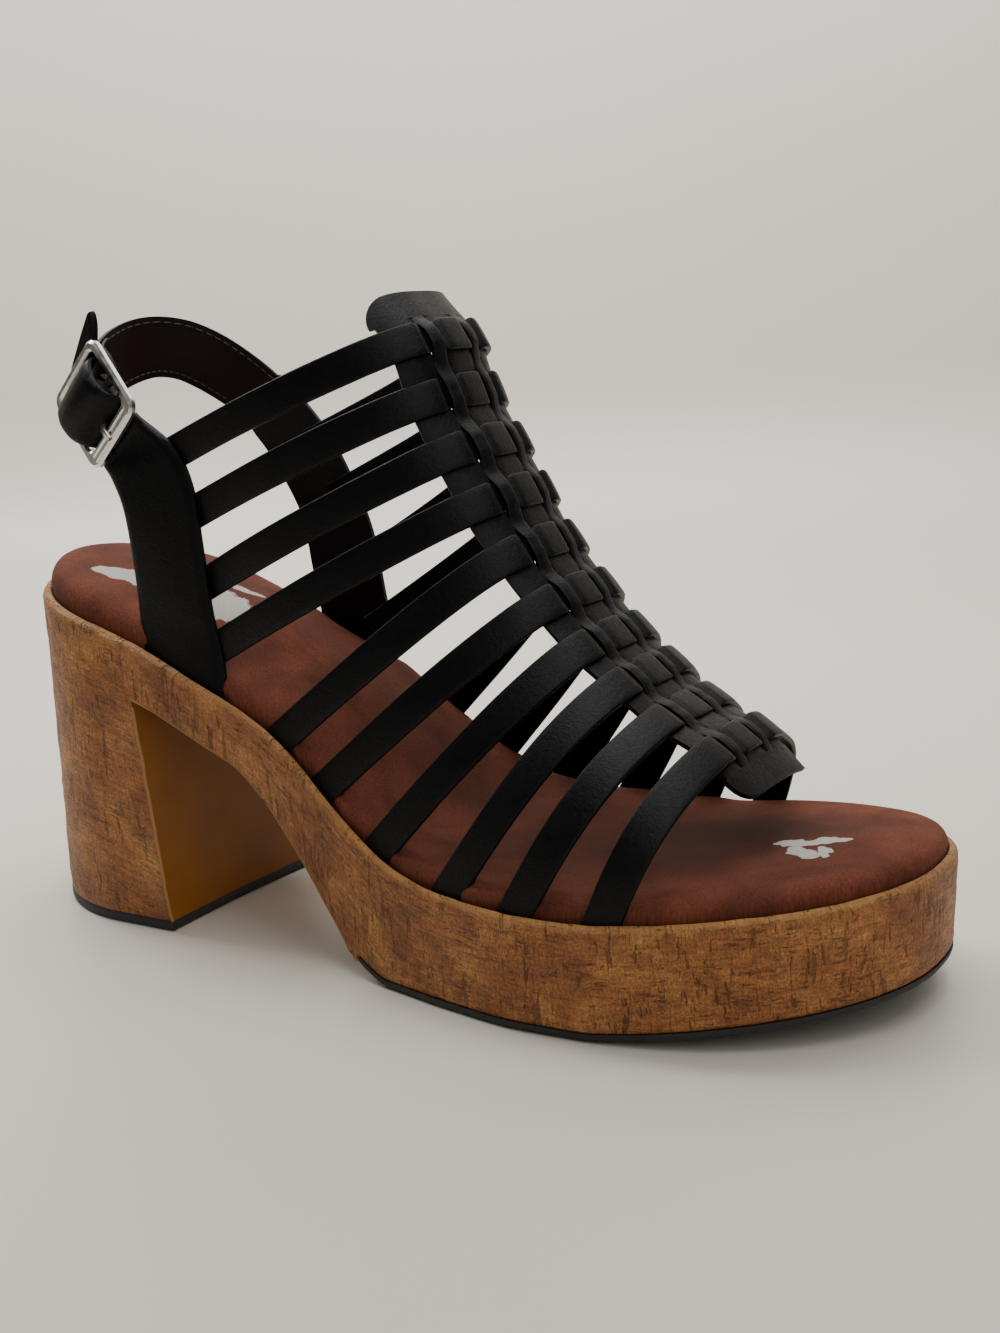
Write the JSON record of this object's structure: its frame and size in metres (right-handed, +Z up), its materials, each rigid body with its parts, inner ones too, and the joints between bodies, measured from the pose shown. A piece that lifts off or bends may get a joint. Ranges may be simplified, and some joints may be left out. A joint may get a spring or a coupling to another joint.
{
  "type": "platform sandal",
  "caption": "Right-foot platform sandal with a block heel, woven strap upper, open toe and heel, and a buckled back strap.",
  "frame": {"origin": "on the floor under the middle of the shoe's bounding box, the shoe standing on heel lift and outsole", "axes": "+X to the toe along the shoe's longest extent, +Y to the inner side of the foot, +Z up"},
  "size_m": [0.253, 0.0964, 0.163],
  "materials": {
    "sole_unit": "cork and wood effect, embossed",
    "outsole_rubber": "matt",
    "lift_rubber": "matt",
    "footbed_microsuede": "napped, worn",
    "upper_leather": "smooth, satin",
    "strap_leather": "smooth, satin, brown lining",
    "buckle_metal": "polished",
    "prong_metal": "polished"
  },
  "bodies": {
    "root": {"sole_unit": "sole_unit", "outsole": "outsole_rubber", "heel_lift": "lift_rubber", "footbed": "footbed_microsuede", "upper": "upper_leather", "back_strap": "strap_leather", "buckle_frame": "buckle_metal", "buckle_prong": "prong_metal"}
  },
  "joints": []
}
